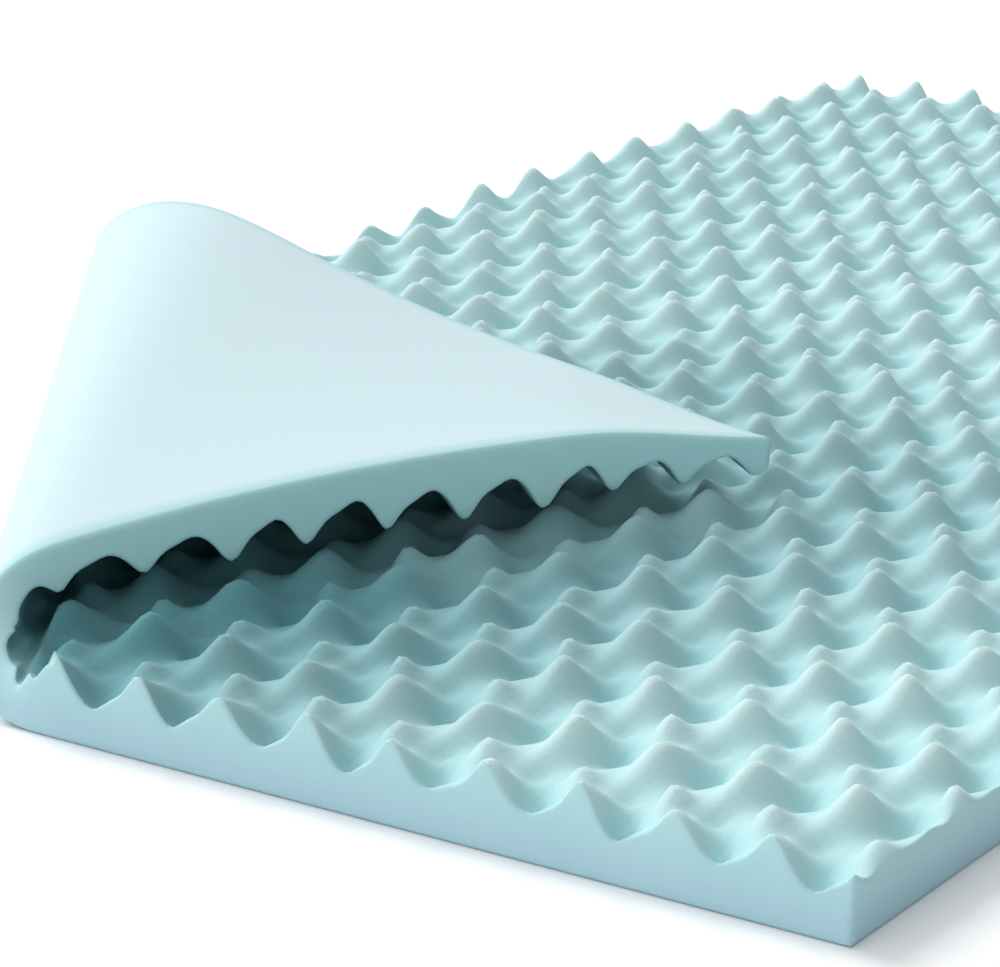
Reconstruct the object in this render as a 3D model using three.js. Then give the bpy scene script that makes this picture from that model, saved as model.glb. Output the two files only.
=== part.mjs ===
import * as THREE from 'three';

// Foam mattress topper for a single bed: one slab of soft foam with a smooth underside and
// a face of bumps and hollows. It lies on its smooth side, and its front left corner is
// folded back over the bumps, smooth side up.
// Millimetres, +Z up. The origin is the centre of the footprint, on the surface it lies on.

// The slab as it is cut.
const WIDTH = 991;
const LENGTH = 1905;
const THICKNESS = 55; // to the tops of the bumps
const BASE = 19; // solid foam under the deepest hollows

// The bumps stand in rows across the slab. Each row starts a share of a pitch further right
// than the row in front of it.
const BUMPS_ACROSS = 17;
const ROWS_ALONG = 22;
const ROW_LEAN = 0.06;
const COLUMN_START = 0.15; // the column nearest the right edge is cut this far from its tops
const PITCH_ACROSS = WIDTH / BUMPS_ACROSS;
const PITCH_ALONG = LENGTH / ROWS_ALONG;

// One pitch of the bumpy face, between BASE and THICKNESS: a pointed top, a low lump between
// the tops and two hollows. Places and widths are in pitches, heights in shares of the relief.
const LEVEL = 0.38;
const FEATURES = [
  { across: 0, along: 0, wide: 0.12, long: 0.16, height: 0.64 },
  { across: -0.4, along: 0.43, wide: 0.12, long: 0.14, height: 0.3 },
  { across: 0.42, along: 0.08, wide: 0.13, long: 0.18, height: -0.38 },
  { across: 0.1, along: 0.52, wide: 0.13, long: 0.15, height: -0.28 },
];

// The fold line leaves the front edge this far from the right corner, at this angle to it.
const FOLD_START = 605;
const FOLD_ANGLE = THREE.MathUtils.degToRad(56.7);

// The bend at the front edge is tight. Towards the side it opens into a tall loose roll.
// reach: distance along the fold line; radius: mean radius of the smooth face;
// past: degrees that it turns past a half turn.
const BEND_FRONT = { reach: 0, radius: 53, past: -5.7 };
const BEND_SIDE = { reach: 743, radius: 115, past: 16.4 };
const BEND_EASE = 0.25; // share of the bend at each end in which it tightens

// Past the bend the flap runs straight, then turns back until it lies level.
const FLAP_STRAIGHT = 327;
const FLAP_SETTLE = 296;

// The folded corner is drawn out sideways as the flap is pulled over.
const CORNER_PULL = 233;
const CORNER_PULL_LENGTH = 681;

// Squashed foam: bumps inside the bend stop short of its centre, and facing layers stay apart.
const SQUASHED = 29; // foam between facing layers is squashed no thinner than this
const INSIDE_BEND = 0.8;
const LAYER_GAP = 2;
const BEND_STEPS = 64; // steps in which the curve of the fold is added up
const CLEAR_OF_EDGE = 0.12; // closest a point comes to the slab's edge, in pitches

const foldLine = new THREE.Vector2(-Math.cos(FOLD_ANGLE), Math.sin(FOLD_ANGLE));
const acrossFold = new THREE.Vector2(-Math.sin(FOLD_ANGLE), -Math.cos(FOLD_ANGLE));

// Flat places on the slab are x, leftwards negative from the right edge, and y, from the front.
function leftEdge(y) {
  return -WIDTH - CORNER_PULL * Math.max(0, 1 - y / CORNER_PULL_LENGTH);
}

// Share of a feature's height at an offset from it in pitches, the same in every pitch.
function bell(offset, width) {
  return Math.exp((Math.cos(2 * Math.PI * offset) - 1) / (2 * Math.PI * width) ** 2);
}

// Height of the bumpy face over the smooth one on the unfolded slab.
function bumpHeight(x, y) {
  const row = y / PITCH_ALONG;
  const column = x / PITCH_ACROSS - ROW_LEAN * row - COLUMN_START;
  let share = LEVEL;
  for (const { across, along, wide, long, height } of FEATURES) {
    share += height * bell(column - across, wide) * bell(row - along, long);
  }
  return BASE + (THICKNESS - BASE) * THREE.MathUtils.clamp(share, 0, 1);
}

// Runs from 0 to 1 with an even slope between two eased ends.
function easedShare(t, ease) {
  const u = THREE.MathUtils.clamp(t, 0, 1);
  const start = (v) => v / 2 - (ease / (2 * Math.PI)) * Math.sin((Math.PI * v) / ease);
  const full = 1 - ease;
  if (u < ease) return start(u) / full;
  if (u > full) return 1 - start(1 - u) / full;
  return (u - ease / 2) / full;
}

// The bend where the fold line has run this far from the front edge.
function bendAt(reach) {
  const share = THREE.MathUtils.clamp((reach - BEND_FRONT.reach) / BEND_SIDE.reach, -0.3, 1.3);
  const radius = THREE.MathUtils.lerp(BEND_FRONT.radius, BEND_SIDE.radius, share);
  const past = THREE.MathUtils.degToRad(THREE.MathUtils.lerp(BEND_FRONT.past, BEND_SIDE.past, share));
  return { past, length: (Math.PI + past) * radius };
}

// Angle that the sheet has turned through at a distance from the middle of the bend.
function turnAt(distance, bend) {
  const bent = easedShare(distance / bend.length + 0.5, BEND_EASE);
  const settled = easedShare((distance - bend.length / 2 - FLAP_STRAIGHT) / FLAP_SETTLE, 0.5);
  return (Math.PI + bend.past) * bent - bend.past * settled;
}

// Where a flat place of the smooth face ends up, which way the bumps then point, and how deep
// the foam can be there.
function foldedPlace(x, y) {
  const flat = new THREE.Vector2(x + FOLD_START, y);
  const reach = flat.dot(foldLine);
  const distance = flat.dot(acrossFold);
  const bend = bendAt(reach);
  const start = -bend.length / 2;
  const run = Math.max(0, distance - start);
  let out = Math.min(distance, start);
  let up = 0;
  for (let step = 0; step < BEND_STEPS; step += 1) {
    const turn = turnAt(start + (run * (step + 0.5)) / BEND_STEPS, bend);
    out += (Math.cos(turn) * run) / BEND_STEPS;
    up += (Math.sin(turn) * run) / BEND_STEPS;
  }
  const turn = turnAt(distance, bend);
  const tightness = (turnAt(distance + 1, bend) - turnAt(distance - 1, bend)) / 2;
  const insideBend = INSIDE_BEND / Math.max(tightness, 1e-4);
  const middle = Math.min(THICKNESS + LAYER_GAP / 2, bend.length / Math.PI);
  const downward = Math.cos(turn);
  const edge = middle - Math.sign(downward) * (LAYER_GAP / 2);
  const roomLeft = (edge - up) / downward;
  const least = Math.min(SQUASHED, insideBend);
  const room = Math.max(least, Math.min(insideBend, run > 0 ? roomLeft : THICKNESS));
  const depth = Math.min(bumpHeight(x, y), room);
  return {
    smooth: new THREE.Vector3(
      -FOLD_START + reach * foldLine.x + out * acrossFold.x + WIDTH / 2,
      reach * foldLine.y + out * acrossFold.y - LENGTH / 2,
      up,
    ),
    bumpward: new THREE.Vector3(
      -Math.sin(turn) * acrossFold.x,
      -Math.sin(turn) * acrossFold.y,
      Math.cos(turn),
    ),
    depth,
    inBend: Math.abs(distance) < bend.length / 2,
  };
}

// One line of places across the slab. Every top is on one, and so is a place by each lump and
// hollow. The bend gets a place halfway between each two.
function placesAcross(line) {
  const y = (line * PITCH_ALONG) / 2;
  const left = leftEdge(y);
  const margin = CLEAR_OF_EDGE * PITCH_ACROSS;
  const places = [left];
  const shift = ROW_LEAN * line + 2 * COLUMN_START;
  const first = Math.ceil((2 * (left + margin)) / PITCH_ACROSS - shift);
  for (let half = first; ; half += 1) {
    const x = ((half + shift) * PITCH_ACROSS) / 2;
    if (x > -margin) break;
    places.push(x);
  }
  places.push(0);
  const refined = [places[0]];
  for (let i = 1; i < places.length; i += 1) {
    const between = (places[i - 1] + places[i]) / 2;
    if (foldedPlace(between, y).inBend) refined.push(between);
    refined.push(places[i]);
  }
  return refined.map((x) => ({ x, y }));
}

// Fills the strip between two lines with triangles, taking the shorter diagonal each time.
function fillStrip(front, back, addTriangle) {
  let i = 0;
  let j = 0;
  while (i < front.length - 1 || j < back.length - 1) {
    const stepFront = i < front.length - 1 ? Math.abs(front[i + 1].x - back[j].x) : Infinity;
    const stepBack = j < back.length - 1 ? Math.abs(back[j + 1].x - front[i].x) : Infinity;
    if (stepFront <= stepBack) {
      addTriangle(front[i].id, front[i + 1].id, back[j].id);
      i += 1;
    } else {
      addTriangle(front[i].id, back[j + 1].id, back[j].id);
      j += 1;
    }
  }
}

// The slab is closed by two skins on the same places, joined by a wall all round.
function slabGeometry() {
  const lines = [];
  const positions = [];
  for (let line = 0; line <= 2 * ROWS_ALONG; line += 1) {
    const places = placesAcross(line);
    for (const place of places) {
      const { smooth, bumpward, depth } = foldedPlace(place.x, place.y);
      const bumpy = smooth.clone().addScaledVector(bumpward, depth);
      place.id = positions.length / 6;
      positions.push(smooth.x, smooth.y, smooth.z, bumpy.x, bumpy.y, bumpy.z);
    }
    lines.push(places);
  }
  const indices = [];
  const smoothId = (id) => 2 * id;
  const bumpyId = (id) => 2 * id + 1;
  for (let line = 1; line < lines.length; line += 1) {
    fillStrip(lines[line - 1], lines[line], (a, b, c) => {
      indices.push(bumpyId(a), bumpyId(b), bumpyId(c));
      indices.push(smoothId(c), smoothId(b), smoothId(a));
    });
  }
  const front = lines[0];
  const back = lines[lines.length - 1];
  const rim = [
    ...front,
    ...lines.slice(1, -1).map((places) => places[places.length - 1]),
    ...back.slice().reverse(),
    ...lines.slice(1, -1).map((places) => places[0]).reverse(),
  ];
  for (let i = 0; i < rim.length; i += 1) {
    const here = rim[i].id;
    const next = rim[(i + 1) % rim.length].id;
    indices.push(smoothId(here), smoothId(next), bumpyId(next));
    indices.push(smoothId(here), bumpyId(next), bumpyId(here));
  }
  const geometry = new THREE.BufferGeometry();
  geometry.setAttribute('position', new THREE.Float32BufferAttribute(positions, 3));
  geometry.setIndex(indices);
  geometry.computeVertexNormals();
  return geometry;
}

// Pale aqua foam, matt all over.
function foam() {
  return new THREE.MeshStandardMaterial({ color: 0xa5d3d8, roughness: 0.95, metalness: 0 });
}

const topper = new THREE.Mesh(slabGeometry(), foam());
topper.name = 'topper';

const part = new THREE.Group();
part.add(topper);

export default part;
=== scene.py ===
import math

import bpy
import numpy as np
from mathutils import Matrix, Vector


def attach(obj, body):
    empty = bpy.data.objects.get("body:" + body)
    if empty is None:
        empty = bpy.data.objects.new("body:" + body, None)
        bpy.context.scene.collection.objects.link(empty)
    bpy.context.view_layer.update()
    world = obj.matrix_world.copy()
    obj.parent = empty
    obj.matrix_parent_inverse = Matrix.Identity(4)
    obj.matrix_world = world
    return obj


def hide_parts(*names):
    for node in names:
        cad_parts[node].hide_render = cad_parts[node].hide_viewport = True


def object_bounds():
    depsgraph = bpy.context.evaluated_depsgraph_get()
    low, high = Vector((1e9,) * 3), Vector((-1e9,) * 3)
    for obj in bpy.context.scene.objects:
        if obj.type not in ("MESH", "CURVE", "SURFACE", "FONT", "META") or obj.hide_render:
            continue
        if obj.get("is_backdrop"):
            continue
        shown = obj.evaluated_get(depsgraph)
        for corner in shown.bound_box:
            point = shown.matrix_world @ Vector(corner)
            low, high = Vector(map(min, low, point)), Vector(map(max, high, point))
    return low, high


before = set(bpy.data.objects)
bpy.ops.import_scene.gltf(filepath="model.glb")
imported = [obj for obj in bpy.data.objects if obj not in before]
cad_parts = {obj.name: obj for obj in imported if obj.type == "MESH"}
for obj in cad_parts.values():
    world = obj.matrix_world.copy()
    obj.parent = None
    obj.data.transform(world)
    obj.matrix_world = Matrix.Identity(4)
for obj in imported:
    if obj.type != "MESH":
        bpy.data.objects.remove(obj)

cad_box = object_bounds()


# The slab. One piece of pale aqua open-cell foam for a single bed. It was cut from a block
# between rollers that squeeze it, which leaves one smooth face and one of bumps and hollows,
# and then trimmed square. Its front left corner is folded back over the bumps.
WIDTH = 0.991  # metres, as every length below
LENGTH = 1.905
THICKNESS = 0.055  # to the tops of the bumps
BASE = 0.019  # foam under the deepest hollows
BUMPS_ACROSS = 17
ROWS_ALONG = 22
ROW_LEAN = 0.06  # each row starts this share of a pitch further right
COLUMN_START = 0.15
PITCH_ACROSS = WIDTH / BUMPS_ACROSS
PITCH_ALONG = LENGTH / ROWS_ALONG

FOLD_START = 0.605  # where the fold line leaves the front edge, from the right corner
FOLD_ANGLE = math.radians(56.7)
BEND_FRONT_RADIUS, BEND_SIDE_RADIUS, BEND_SIDE_REACH = 0.053, 0.115, 0.743
BEND_FRONT_PAST, BEND_SIDE_PAST = math.radians(-5.7), math.radians(16.4)
BEND_BEYOND = (-0.3, 1.3)  # shares of the reach past which the bend opens no further
BEND_EASE = 0.25
BEND_STEPS = 64
FLAP_STRAIGHT = 0.327
FLAP_SETTLE = 0.296
FLAP_EASE = 0.5
CORNER_PULL = 0.233  # the folded corner is drawn out sideways
CORNER_PULL_LENGTH = 0.681

# The loose roll sags, out past its bend and down, and the thin tip of the flap droops.
ROLL_LOOSENS = 1.5
ROLL_BULGE, ROLL_SINK = 0.020, 0.007
SINK_AT, SINK_SPREAD = 0.85, 0.3  # shares of the bend
TIP_DROOP, TIP_REACH = 0.011, 0.16

# Squashed foam: facing layers stay apart, and the bumps flatten in a tight bend.
SQUASHED = 0.029
INSIDE_BEND = 0.8
LAYER_GAP = 0.002
CALM_BELOW = 0.085
SMALL_STEP = 0.001
LEAST_TURN = 0.1  # a gentler bend than this is no bend

# Painted shade: the bumpy face is painted a deeper teal in the hollow under the flap, and a little
# in front of it, where the flap's shadow falls.
SHADE_REACH = 0.26
SHADE_FULL = 1.2
SHADE_START = -1.2 * FOLD_START  # on the front edge, from the right corner
SHADE_FADE_TO_TIP = (1.15, -0.65)
SHADE_FADE_TO_SIDE = (1.5, 4)
SHADE_BACK, SHADE_BACK_FADE = 0.45, 0.15

# What one pitch holds: a pointed top, a low lump between the tops and two hollows. Place across
# and along and width across and along are in pitches, the height is a share of the relief.
FEATURES = {
    "Top": (0.0, 0.0, 0.13, 0.18, 0.60),
    "Lump": (-0.4, 0.47, 0.11, 0.14, 0.46),
    "Hollow": (0.43, 0.22, 0.14, 0.15, -0.46),
    "Low Hollow": (0.08, 0.54, 0.11, 0.13, -0.24),
}

CUTS_ACROSS = 16  # mesh steps in one pitch
CUTS_ALONG = 12
SMOOTH_STEP = 2  # the smooth face is this many times coarser
WALL_STEPS = 5
EDGE_RADIUS = 0.0028

fold_line = np.array([-math.cos(FOLD_ANGLE), math.sin(FOLD_ANGLE)])
across_fold = np.array([-math.sin(FOLD_ANGLE), -math.cos(FOLD_ANGLE)])


def left_edge(y):
    return -WIDTH - CORNER_PULL * np.maximum(0, 1 - y / CORNER_PULL_LENGTH)


def eased_share(t, ease):
    """Runs from 0 to 1 with an even slope between two eased ends."""
    u = np.clip(t, 0, 1)
    start = lambda v: v / 2 - ease / (2 * np.pi) * np.sin(np.pi * v / ease)
    full = 1 - ease
    middle = (u - ease / 2) / full
    last = 1 - start(1 - u) / full
    return np.where(u < ease, start(u) / full, np.where(u > full, last, middle))


def bend_at(reach):
    """How far the bend turns past a half turn, and its length, along the fold line."""
    share = np.clip(reach / BEND_SIDE_REACH, *BEND_BEYOND)
    radius = BEND_FRONT_RADIUS + (BEND_SIDE_RADIUS - BEND_FRONT_RADIUS) * share
    past = BEND_FRONT_PAST + (BEND_SIDE_PAST - BEND_FRONT_PAST) * share
    return past, (np.pi + past) * radius


def turn_at(distance, past, length):
    """Angle that the sheet has turned through at a distance from the middle of the bend."""
    bent = eased_share(distance / length + 0.5, BEND_EASE)
    settled = eased_share((distance - length / 2 - FLAP_STRAIGHT) / FLAP_SETTLE, FLAP_EASE)
    return (np.pi + past) * bent - past * settled


def folded(x, y):
    """Where flat places of the smooth face end up, which way the bumps then point, and how deep
    the foam can be there."""
    reach = (x + FOLD_START) * fold_line[0] + y * fold_line[1]
    distance = (x + FOLD_START) * across_fold[0] + y * across_fold[1]
    past, length = bend_at(reach)
    start = -length / 2
    run = np.maximum(0, distance - start)
    out = np.minimum(distance, start)
    up = np.zeros_like(out)
    for step in range(BEND_STEPS):
        turn = turn_at(start + run * (step + 0.5) / BEND_STEPS, past, length)
        out = out + np.cos(turn) * run / BEND_STEPS
        up = up + np.sin(turn) * run / BEND_STEPS
    turn = turn_at(distance, past, length)
    loose = np.clip(reach / BEND_SIDE_REACH, 0, 1) ** ROLL_LOOSENS
    bent = np.clip(distance / length + 0.5, 0, 1)
    out = out + ROLL_BULGE * loose * np.sin(np.pi * bent) ** 2
    sink = np.exp(-((bent - SINK_AT) / SINK_SPREAD) ** 2) * np.minimum(1, up / BEND_SIDE_RADIUS)
    up = up - ROLL_SINK * loose * sink
    tip = np.clip(1 - np.hypot(x - left_edge(0), y) / TIP_REACH, 0, 1)
    up = up - TIP_DROOP * tip ** 2 * (3 - 2 * tip)
    before = turn_at(distance - SMALL_STEP, past, length)
    after = turn_at(distance + SMALL_STEP, past, length)
    tightness = (after - before) / (2 * SMALL_STEP)
    inside_bend = INSIDE_BEND / np.maximum(tightness, LEAST_TURN)
    middle = np.minimum(THICKNESS + LAYER_GAP / 2, length / np.pi)
    edge = middle - np.sign(np.cos(turn)) * LAYER_GAP / 2
    plenty = 2 * THICKNESS
    room_left = np.where(run > 0, (edge - up) / np.cos(turn), plenty)
    room_left = np.where(room_left < 0, plenty, room_left)
    least = np.minimum(SQUASHED, inside_bend)
    room = np.maximum(least, np.minimum(inside_bend, room_left))
    calm = np.clip(1 - inside_bend / CALM_BELOW, 0, 1)
    smooth = np.stack([
        -FOLD_START + reach * fold_line[0] + out * across_fold[0] + WIDTH / 2,
        reach * fold_line[1] + out * across_fold[1] - LENGTH / 2,
        up], 1)
    lean = -np.sin(turn)
    bumpward = np.stack([lean * across_fold[0], lean * across_fold[1], np.cos(turn)], 1)
    return smooth, bumpward, room, calm


def shade_at(smooth, share, up):
    """How much painted shade a place on the bumpy face gets, by how far it is in the hollow between
    the slab and the flap.
    The flap's edge is taken as a straight line from the front edge to its tip. The flap's own bumpy
    face, turned down, gets it all."""
    ends = folded(np.array([SHADE_START, left_edge(0)]), np.zeros(2))[0][:, :2]
    length = np.linalg.norm(ends[1] - ends[0])
    along = (ends[1] - ends[0]) / length
    offset = smooth[:, :2] - ends[0]
    outside = offset @ np.array([along[1], -along[0]])
    reach = np.clip(offset @ along / length, -1, 2)
    near = np.clip(SHADE_FULL - outside / SHADE_REACH, 0, 1)
    to_tip = np.clip(SHADE_FADE_TO_TIP[0] + SHADE_FADE_TO_TIP[1] * reach, 0, 1)
    to_side = np.clip(SHADE_FADE_TO_SIDE[0] + SHADE_FADE_TO_SIDE[1] * reach, 0, 1)
    back = np.clip((SHADE_BACK + outside) / SHADE_BACK_FADE, 0, 1)
    flap = np.where(up < 0, 1.0, 0.0)
    return np.maximum(near * (to_tip * to_side) * back, flap) * share


def slab_mesh():
    """A closed skin that starts flat on the smooth face. Each point keeps its flat place, which
    way it moves, how far it can, and the share and drop that shape the cut sides."""
    columns = BUMPS_ACROSS * CUTS_ACROSS
    rows = ROWS_ALONG * CUTS_ALONG
    x_share, y_share = np.meshgrid(
        np.linspace(0, 1, columns + 1), np.linspace(0, 1, rows + 1))
    rim = [(0, i) for i in range(columns)] + [(j, columns) for j in range(rows)]
    rim += [(rows, i) for i in range(columns, 0, -1)] + [(j, 0) for j in range(rows, 0, -1)]
    rim_rows, rim_columns = np.array(rim).T

    def flat_places(inset):
        y = inset + (LENGTH - 2 * inset) * y_share
        left = left_edge(y) + inset
        return left + (-inset - left) * x_share, y

    places, faces = [], []

    def add(x, y, share, drop, cut):
        first = sum(len(p) for p in places)
        columns_of_values = [np.broadcast_to(value, len(x)) for value in (x, y, share, drop, cut)]
        places.append(np.stack(columns_of_values, 1))
        return first + np.arange(len(x))

    top_x, top_y = flat_places(EDGE_RADIUS)
    top = add(top_x.ravel(), top_y.ravel(), 1.0, 0.0, 0.0).reshape(rows + 1, columns + 1)
    corners = [top[:-1, :-1], top[:-1, 1:], top[1:, 1:], top[1:, :-1]]
    faces += np.stack(corners, -1).reshape(-1, 4).tolist()

    # Rings down the cut side: inset and drop in edge radii, and the share of the depth.
    rounding = 1 - math.sqrt(0.5)
    rings = [(rounding, 1.0, rounding), (0.0, 1.0, 1.0)]
    rings += [(0.0, 1 - step / WALL_STEPS, 0.0) for step in range(1, WALL_STEPS)]
    rings += [(0.0, 0.0, -1.0), (rounding, 0.0, -rounding), (1.0, 0.0, 0.0)]
    previous = top[rim_rows, rim_columns]
    for inset, share, drop in rings:
        x, y = flat_places(inset * EDGE_RADIUS)
        rim_x, rim_y = x[rim_rows, rim_columns], y[rim_rows, rim_columns]
        ring = add(rim_x, rim_y, share, drop * EDGE_RADIUS, 1.0)
        back, around = np.roll(previous, -1), np.roll(ring, -1)
        faces += np.stack([previous, ring, around, back], -1).tolist()
        previous = ring

    bottom = np.full((rows + 1, columns + 1), -1)
    bottom[rim_rows, rim_columns] = previous
    inner = np.zeros_like(bottom, bool)
    inner[SMOOTH_STEP:-SMOOTH_STEP:SMOOTH_STEP, SMOOTH_STEP:-SMOOTH_STEP:SMOOTH_STEP] = True
    bottom[inner] = add(top_x[inner], top_y[inner], 0.0, 0.0, 0.0)
    for j in range(0, rows, SMOOTH_STEP):
        for i in range(0, columns, SMOOTH_STEP):
            near = range(SMOOTH_STEP)
            around = [(j + k, i) for k in near] + [(j + SMOOTH_STEP, i + k) for k in near]
            around += [(j + SMOOTH_STEP - k, i + SMOOTH_STEP) for k in near]
            around += [(j, i + SMOOTH_STEP - k) for k in near]
            faces.append([int(bottom[p]) for p in around if bottom[p] >= 0])

    places = np.concatenate(places)
    smooth, bumpward, room, calm = folded(places[:, 0], places[:, 1])
    shade = shade_at(smooth, places[:, 2], bumpward[:, 2])
    mesh = bpy.data.meshes.new("foam_slab")
    mesh.from_pydata(smooth.tolist(), [], faces)
    vectors = {"flat_place": np.pad(places[:, :2], ((0, 0), (0, 1))), "bumpward": bumpward}
    numbers = {"room": room, "share": places[:, 2], "drop": places[:, 3], "cut_side": places[:, 4]}
    numbers.update(calm=calm, shade=shade)
    for name, values in vectors.items():
        attribute = mesh.attributes.new(name, "FLOAT_VECTOR", "POINT")
        attribute.data.foreach_set("vector", values.ravel())
    for name, values in numbers.items():
        attribute = mesh.attributes.new(name, "FLOAT", "POINT")
        attribute.data.foreach_set("value", values)
    mesh.shade_smooth()
    return mesh


class Tree:
    """A node tree that is being built. make adds one node: its settings are set first, and then
    the values or links of its sockets."""

    def __init__(self, tree):
        self.tree = tree

    def make(self, kind, settings=None, sockets=None, out=0):
        node = self.tree.nodes.new(kind)
        for name, value in (settings or {}).items():
            setattr(node, name, value)
        for name, value in (sockets or {}).items():
            if isinstance(value, Wire):
                self.tree.links.new(value.socket, node.inputs[name])
            else:
                node.inputs[name].default_value = value
        return Wire(self, node.outputs[out]) if out is not None else None


class Wire:
    """One output of a node. Arithmetic on it adds Math nodes."""

    def __init__(self, tree, socket):
        self.tree = tree
        self.socket = socket

    def math(self, operation, *others):
        sockets = dict(enumerate((self, *others)))
        return self.tree.make("ShaderNodeMath", {"operation": operation}, sockets)

    def __add__(self, other):
        return self.math("ADD", other)

    def __radd__(self, other):
        return self.math("ADD", other)

    def __sub__(self, other):
        return self.math("SUBTRACT", other)

    def __rsub__(self, other):
        return (self * -1.0).math("ADD", other)

    def __mul__(self, other):
        return self.math("MULTIPLY", other)

    def __rmul__(self, other):
        return self.math("MULTIPLY", other)

    def __truediv__(self, other):
        return self.math("DIVIDE", other)

    def __pow__(self, other):
        return self.math("POWER", other)


def convoluted_foam():
    """Geometry nodes that raise the bumps: a top, a lump and two hollows in every pitch, a little
    uneven, and squashed where the folded layers meet."""
    group = bpy.data.node_groups.new("convoluted_foam", "GeometryNodeTree")
    tree = Tree(group)
    group.interface.new_socket("Slab", in_out="INPUT", socket_type="NodeSocketGeometry")
    sizes = {
        "Thickness": THICKNESS,
        "Base": BASE,
        "Pitch Across": PITCH_ACROSS,
        "Pitch Along": PITCH_ALONG,
        "Row Lean": ROW_LEAN,
        "Column Start": COLUMN_START,
        "Level": 0.40,
        "Unevenness": 0.30,
        "Uneven Scale": 14.0,
        "Wander": 0.022,
        "Wander Scale": 9.0,
        "Seed": 0.0,
        "Hollow Ease": 0.08,
        "Top Limit": 1.03,
        "Top Ease": 0.12,
        "Squash Ease": 0.06,
        "Calm Level": 0.60,
    }
    for feature, values in FEATURES.items():
        for measure, value in zip(("Across", "Along", "Wide", "Long", "Height"), values):
            sizes[feature + " " + measure] = value
    for name in sizes:
        group.interface.new_socket(name, in_out="INPUT", socket_type="NodeSocketFloat")
    group.interface.new_socket("Foam", in_out="INPUT", socket_type="NodeSocketMaterial")
    group.interface.new_socket("Slab", in_out="OUTPUT", socket_type="NodeSocketGeometry")
    start = group.nodes.new("NodeGroupInput")
    given = lambda name: Wire(tree, start.outputs[name])

    def stored(name, kind="FLOAT"):
        return tree.make("GeometryNodeInputNamedAttribute", {"data_type": kind}, {"Name": name})

    def vector(operation, *others, **named):
        sockets = {**dict(enumerate(others)), **named}
        return tree.make("ShaderNodeVectorMath", {"operation": operation}, sockets)

    def noise(scale, out):
        return tree.make(
            "ShaderNodeTexNoise", {"noise_dimensions": "3D"},
            {"Vector": seeded, "Scale": given(scale), "Detail": 1.0, "Roughness": 0.5}, out=out)

    # Another seed reads another part of the noises. Nothing else here is random.
    flat = stored("flat_place", "FLOAT_VECTOR")
    seeded = vector("ADD", flat, tree.make("ShaderNodeCombineXYZ", {}, {"Z": given("Seed")}))
    shift = vector("SUBTRACT", noise("Wander Scale", "Color"), (0.5, 0.5, 0.5))
    place = vector("ADD", flat, vector("SCALE", shift, Scale=given("Wander")))
    x = tree.make("ShaderNodeSeparateXYZ", {}, {0: place}, out="X")
    y = tree.make("ShaderNodeSeparateXYZ", {}, {0: place}, out="Y")

    turn = 2 * math.pi
    row = y / given("Pitch Along")
    column = x / given("Pitch Across") - row * given("Row Lean") - given("Column Start")

    def bell(offset, width):
        return (((offset * turn).math("COSINE") - 1.0) / (width * turn) ** 2.0).math("EXPONENT")

    share = given("Level")
    for feature in FEATURES:
        across = bell(column - given(feature + " Across"), given(feature + " Wide"))
        along = bell(row - given(feature + " Along"), given(feature + " Long"))
        share = share + across * along * given(feature + " Height")
    patchy_middle = 0.55  # a little over the noise's middle, so few tops are cut off
    patchy = noise("Uneven Scale", 0)
    uneven = 1.0 + (patchy - patchy_middle) * given("Unevenness") * 2.0
    relief = (share * uneven).math("SMOOTH_MAX", 0.0, given("Hollow Ease"))
    relief = relief.math("SMOOTH_MIN", given("Top Limit"), given("Top Ease"))
    height = given("Base") + (given("Thickness") - given("Base")) * relief

    squash = (stored("room") / given("Thickness")).math("SMOOTH_MIN", 1.0, given("Squash Ease"))
    level = given("Thickness") * given("Calm Level") * (2.0 - stored("calm"))
    calmed = height + (level - height) * stored("calm")
    depth = calmed * squash * stored("share") - stored("drop")
    move = vector("SCALE", stored("bumpward", "FLOAT_VECTOR"), Scale=depth)
    raised = tree.make("GeometryNodeSetPosition", {}, {"Geometry": given("Slab"), "Offset": move})
    marked = tree.make(
        "GeometryNodeStoreNamedAttribute", {"data_type": "FLOAT"},
        {"Geometry": raised, "Name": "relief", "Value": relief})
    real = tree.make("GeometryNodeRealizeInstances", {}, {"Geometry": marked})
    coated = tree.make("GeometryNodeSetMaterial", {}, {"Geometry": real, "Material": given("Foam")})
    end = group.nodes.new("NodeGroupOutput")
    group.links.new(coated.socket, end.inputs[0])
    return group, sizes


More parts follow.
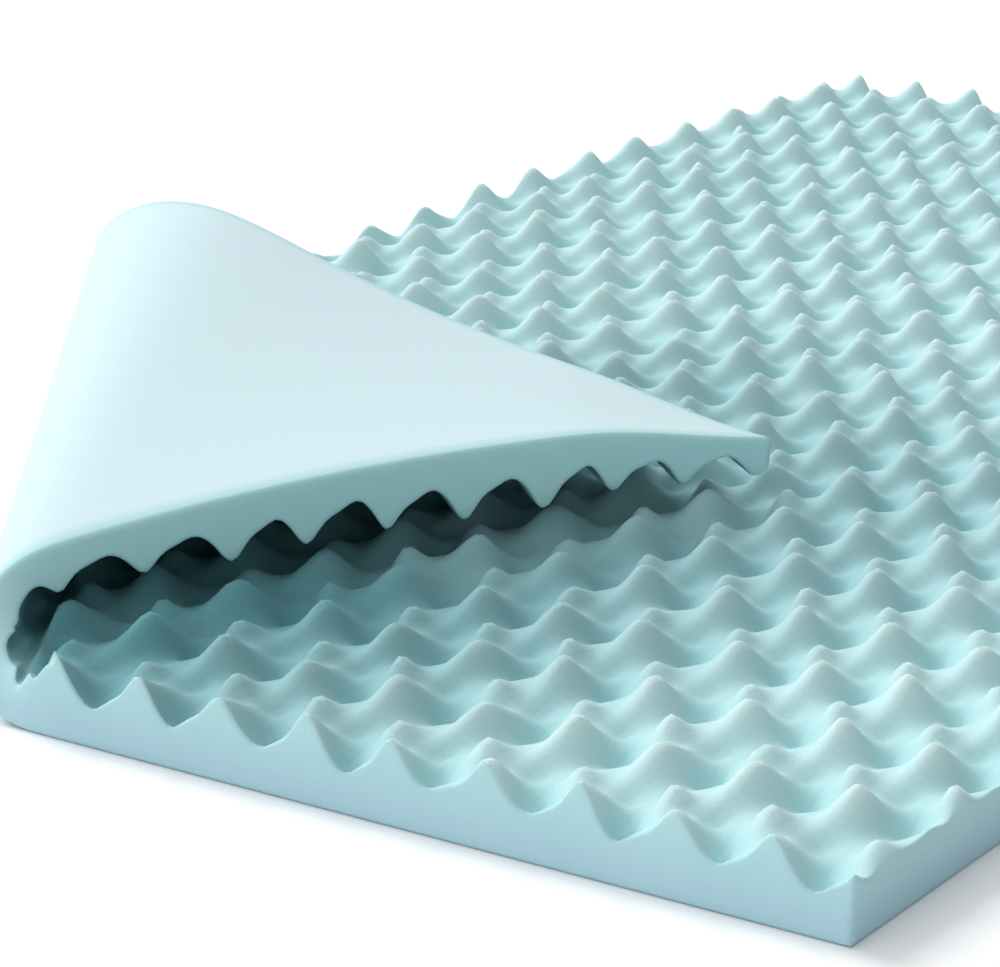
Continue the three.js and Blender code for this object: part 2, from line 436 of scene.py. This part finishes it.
def foam_material():
    """Soft matt foam: pale aqua, paler on the smooth skin, bluer where it is cut, with fine open
    cells. The bumps carry a painted highlight on their tops, painted shade in their hollows, and
    painted shade under the flap."""
    skin = (0.62, 0.77, 0.81, 1)
    # hollow and top: painted shade in the hollows of the bumps, painted highlight on their tops
    hollow = (0.38, 0.655, 0.67, 1)
    top = (0.65, 0.81, 0.82, 1)
    # painted shade for the bumps under and in front of the flap
    shaded = (0.08, 0.265, 0.295, 1)
    cut_foam = (0.45, 0.72, 0.74, 1)
    cut_low = (0.40, 0.61, 0.70, 1)
    patch = (0.60, 0.80, 0.82, 1)
    cell = (0.32, 0.55, 0.58, 1)
    low_fade, low_start = 0.034, 1.35  # the cut side turns bluer from 46 mm down to 12 mm

    material = bpy.data.materials.new("foam")
    material.use_nodes = True
    material.node_tree.nodes.clear()
    tree = Tree(material.node_tree)
    stored = lambda name: tree.make("ShaderNodeAttribute", {"attribute_name": name}, {}, out="Fac")
    mix = lambda share, a, b: tree.make(
        "ShaderNodeMix", {"data_type": "RGBA"}, {0: share, 6: a, 7: b}, out=2)
    place = tree.make("ShaderNodeTexCoord", {}, {}, out="Object")
    broad = tree.make("ShaderNodeTexNoise", {}, {"Vector": place, "Scale": 6.0, "Detail": 3.0})
    fine = tree.make("ShaderNodeTexNoise", {}, {"Vector": place, "Scale": 500.0, "Detail": 2.0})
    cells = tree.make("ShaderNodeTexVoronoi", {"feature": "F1"}, {"Vector": place, "Scale": 600.0})
    bumpy, cut = stored("share"), stored("cut_side")

    # painted shade in the hollows and painted highlight on the tops, by the height of the bumps
    bumps = mix(stored("relief") ** 1.3, hollow, top)
    # painted shade under and in front of the flap, on the bumps only
    bumps = mix(stored("shade") * (1.0 - cut), bumps, shaded)
    face = mix(bumpy, skin, bumps)
    face = mix(cut, face, cut_foam)
    height = tree.make("ShaderNodeSeparateXYZ", {}, {0: place}, out="Z")
    low = (low_start - height / low_fade).math("MAXIMUM", 0.0).math("MINIMUM", 1.0)
    face = mix(cut * low * 0.9, face, cut_low)
    face = mix((broad - 0.5).math("ABSOLUTE") * 0.6, face, patch)
    color = mix(cells * 0.12 + fine * 0.06, face, cell)

    grain = (cells * 0.6 + fine * 0.4) * (0.35 + bumpy * 0.65)  # the skin is smoother
    bump = tree.make("ShaderNodeBump", {}, {"Strength": 0.2, "Distance": 0.0006, "Height": grain})
    shader = tree.make("ShaderNodeBsdfPrincipled", {}, {
        "Base Color": color, "Normal": bump, "Roughness": 0.95, "Specular IOR Level": 0.15,
        "Sheen Weight": 0.08, "Sheen Roughness": 0.6})
    tree.make("ShaderNodeOutputMaterial", {}, {"Surface": shader}, out=None)
    return material


foam = foam_material()
flat_slab = bpy.data.objects.new("flat_slab", slab_mesh())
bpy.context.collection.objects.link(flat_slab)
bumps = flat_slab.modifiers.new("bumps", "NODES")
bumps.node_group, sizes = convoluted_foam()
items = bumps.node_group.interface.items_tree
sockets = {item.name: item.identifier for item in items if item.in_out == "INPUT"}
for name, value in sizes.items():
    bumps[sockets[name]] = value
bumps[sockets["Foam"]] = foam
evaluated = flat_slab.evaluated_get(bpy.context.evaluated_depsgraph_get())
slab = bpy.data.objects.new("foam_slab_folded", bpy.data.meshes.new_from_object(evaluated))
bpy.context.collection.objects.link(slab)
flat_slab.modifiers.remove(bumps)
bpy.data.objects.remove(flat_slab)
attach(slab, "root")
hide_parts("topper")


# The studio. A plain pale floor, one large soft light from the upper left, weaker ones from the
# ceiling and the front, and a bright room. The camera stands to the front right of the slab, low,
# with a long lens.
def studio_floor():
    mesh = bpy.data.meshes.new("studio_floor")
    far = 8.0
    corners = [(-far, -far, 0), (far, -far, 0), (far, far, 0), (-far, far, 0)]
    mesh.from_pydata(corners, [], [(0, 1, 2, 3)])
    material = bpy.data.materials.new("studio_floor")
    material.use_nodes = True
    shader = material.node_tree.nodes["Principled BSDF"]
    shader.inputs["Base Color"].default_value = (0.92, 0.92, 0.925, 1)
    shader.inputs["Roughness"].default_value = 0.9
    mesh.materials.append(material)
    floor = bpy.data.objects.new("studio_floor", mesh)
    bpy.context.collection.objects.link(floor)
    floor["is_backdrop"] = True


def soft_light(name, direction, strength, softness):
    """A light from far off in a direction, as many degrees wide as its softness."""
    lamp = bpy.data.lights.new(name, "SUN")
    lamp.energy = strength
    lamp.angle = math.radians(softness)
    light = bpy.data.objects.new(name, lamp)
    light.rotation_euler = Vector(direction).to_track_quat("Z", "Y").to_euler()
    bpy.context.collection.objects.link(light)


studio_floor()
soft_light("window_light", (-0.74, 0.18, 0.65), 2.0, 30)
soft_light("ceiling_light", (-0.3, -0.1, 0.95), 0.75, 90)
soft_light("front_light", (-0.15, -0.90, 0.55), 0.75, 60)
world = bpy.data.worlds.new("bright_room")
world.use_nodes = True
background = world.node_tree.nodes["Background"]
background.inputs["Color"].default_value = (0.96, 0.98, 1.0, 1)
background.inputs["Strength"].default_value = 0.39
bpy.context.scene.world = world
bpy.context.scene.view_settings.view_transform = "Standard"

PICTURE_WIDTH, PICTURE_HEIGHT = 1000, 967
CAMERA_TURN = math.radians(31.30)  # to the left of straight along the slab
CAMERA_DOWN = math.radians(16.68)
CAMERA_ROLL = math.radians(1.95)
LENS_PIXELS = 4071  # focal length in pixels of the picture
SENSOR_WIDTH = 36  # millimetres
CORNER_AT = (851.2, 949.4)  # where the front right corner shows in the picture
CORNER_DISTANCE = 2.0908  # from the camera, straight ahead

ahead = np.array([
    -math.sin(CAMERA_TURN) * math.cos(CAMERA_DOWN),
    math.cos(CAMERA_TURN) * math.cos(CAMERA_DOWN),
    -math.sin(CAMERA_DOWN)])
right = np.cross(ahead, (0, 0, 1))
right /= np.linalg.norm(right)
up = np.cross(right, ahead)
right, up = (
    math.cos(CAMERA_ROLL) * right + math.sin(CAMERA_ROLL) * up,
    math.cos(CAMERA_ROLL) * up - math.sin(CAMERA_ROLL) * right)
sideways = (CORNER_AT[0] - PICTURE_WIDTH / 2) / LENS_PIXELS
upwards = (PICTURE_HEIGHT / 2 - CORNER_AT[1]) / LENS_PIXELS
corner = np.array([WIDTH / 2, -LENGTH / 2, 0])
eye = corner - CORNER_DISTANCE * (ahead + sideways * right + upwards * up)
camera_data = bpy.data.cameras.new("camera")
camera_data.sensor_fit = "HORIZONTAL"
camera_data.sensor_width = SENSOR_WIDTH
camera_data.lens = SENSOR_WIDTH * LENS_PIXELS / PICTURE_WIDTH
camera_data.clip_end = 60
camera = bpy.data.objects.new("camera", camera_data)
axes = np.column_stack([right, up, -ahead, eye])
camera.matrix_world = Matrix([*axes.tolist(), [0, 0, 0, 1]])
bpy.context.collection.objects.link(camera)
bpy.context.scene.camera = camera


visual_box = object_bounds()
plain = lambda box: [[float(v) for v in corner] for corner in box]
{"cad": plain(cad_box), "visual": plain(visual_box)}
